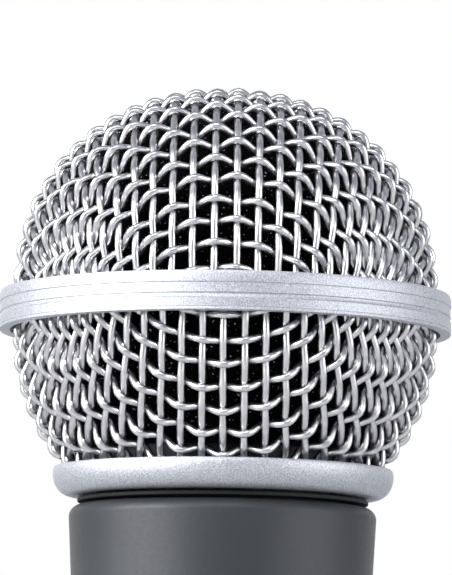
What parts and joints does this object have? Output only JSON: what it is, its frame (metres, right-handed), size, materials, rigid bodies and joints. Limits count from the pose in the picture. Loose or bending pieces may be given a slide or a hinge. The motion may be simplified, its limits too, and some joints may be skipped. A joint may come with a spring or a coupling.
{
  "type": "dynamic microphone",
  "caption": "Handheld dynamic microphone: woven wire ball grille that unscrews, sprung moving-coil capsule, tapered metal handle and pin connector in the tail.",
  "frame": {"origin": "centre of the tail's end face, on the microphone's axis", "axes": "+Z along the axis from the tail to the grille, -Y towards the viewer of the picture"},
  "size_m": [0.051, 0.051, 0.1618],
  "materials": {
    "grey_enamel": "dark grey baked enamel on a die casting, satin with a fine grain",
    "satin_silver": "bead-blasted matt nickel silver with a fine sparkle",
    "plated_wire": "satin nickel-plated steel wire",
    "steel": "plain turned steel",
    "soft_iron": "machined iron",
    "copper_wire": "enamelled copper wire",
    "plated_contact": "silver-plated brass",
    "black_plastic": "moulded, fine matt",
    "black_rubber": "moulded rubber",
    "foam": "black open-cell foam",
    "grey_cloth": "fine grey acoustic cloth",
    "film": "thin clear polyester film",
    "board": "phenolic board",
    "lead_insulation": "thin insulated lead"
  },
  "bodies": {
    "handle": {"handle_shell": "grey_enamel", "connector_insert": "black_plastic", "contact_pin_1": "plated_contact", "contact_pin_2": "plated_contact", "contact_pin_3": "plated_contact", "connector_lock_screw": "steel", "transformer_core": "soft_iron", "transformer_winding": "copper_wire", "transformer_pad_upper": "foam", "transformer_pad_lower": "foam", "capsule_lead_hot": "lead_insulation", "capsule_lead_return": "lead_insulation", "output_lead_1": "lead_insulation", "output_lead_2": "lead_insulation", "output_lead_3": "lead_insulation", "shock_mount": "black_rubber"},
    "washer": {"collar_washer": "black_rubber"},
    "grille": {"grille_collar": "satin_silver", "crimp_ring": "steel", "lower_mesh": "plated_wire", "equator_band": "satin_silver", "band_inner_ring": "steel", "upper_mesh": "plated_wire", "foam_liner": "foam"},
    "capsule": {"capsule_housing": "black_plastic", "rear_chamber": "black_plastic", "rear_slot_screen": "grey_cloth", "yoke_cup": "soft_iron", "magnet": "soft_iron", "pole_piece": "soft_iron", "top_plate": "soft_iron", "damping_felt": "grey_cloth", "clamp_ring": "steel", "front_cloth": "grey_cloth", "resonator_cap": "black_plastic", "terminal_board": "board", "terminal_hot": "plated_contact", "terminal_return": "plated_contact"},
    "diaphragm": {"diaphragm": "film", "voice_coil": "copper_wire"}
  },
  "joints": [
    {"name": "grille_turn", "type": "hinge", "parent": "handle", "child": "washer", "pos_m": [0, 0, 0.115], "axis": [0, 0, 1], "range_deg": [0, 1800]},
    {"name": "grille_lift", "type": "slide", "parent": "washer", "child": "grille", "axis": [0, 0, 1], "range_m": [0, 0.005]},
    {"name": "capsule_float", "type": "slide", "parent": "handle", "child": "capsule", "axis": [0, 0, 1], "range_m": [-0.0008, 0.0008], "stiffness_N_per_m": 2500, "deforming": ["shock_mount", "capsule_lead_hot", "capsule_lead_return"]},
    {"name": "diaphragm_stroke", "type": "slide", "parent": "capsule", "child": "diaphragm", "axis": [0, 0, 1], "range_m": [-0.00015, 0.00015], "stiffness_N_per_m": 200}
  ],
  "couplings": [
    {"joint": "grille_lift", "follows": "grille_turn", "m_per_rad": 0.00015915}
  ]
}
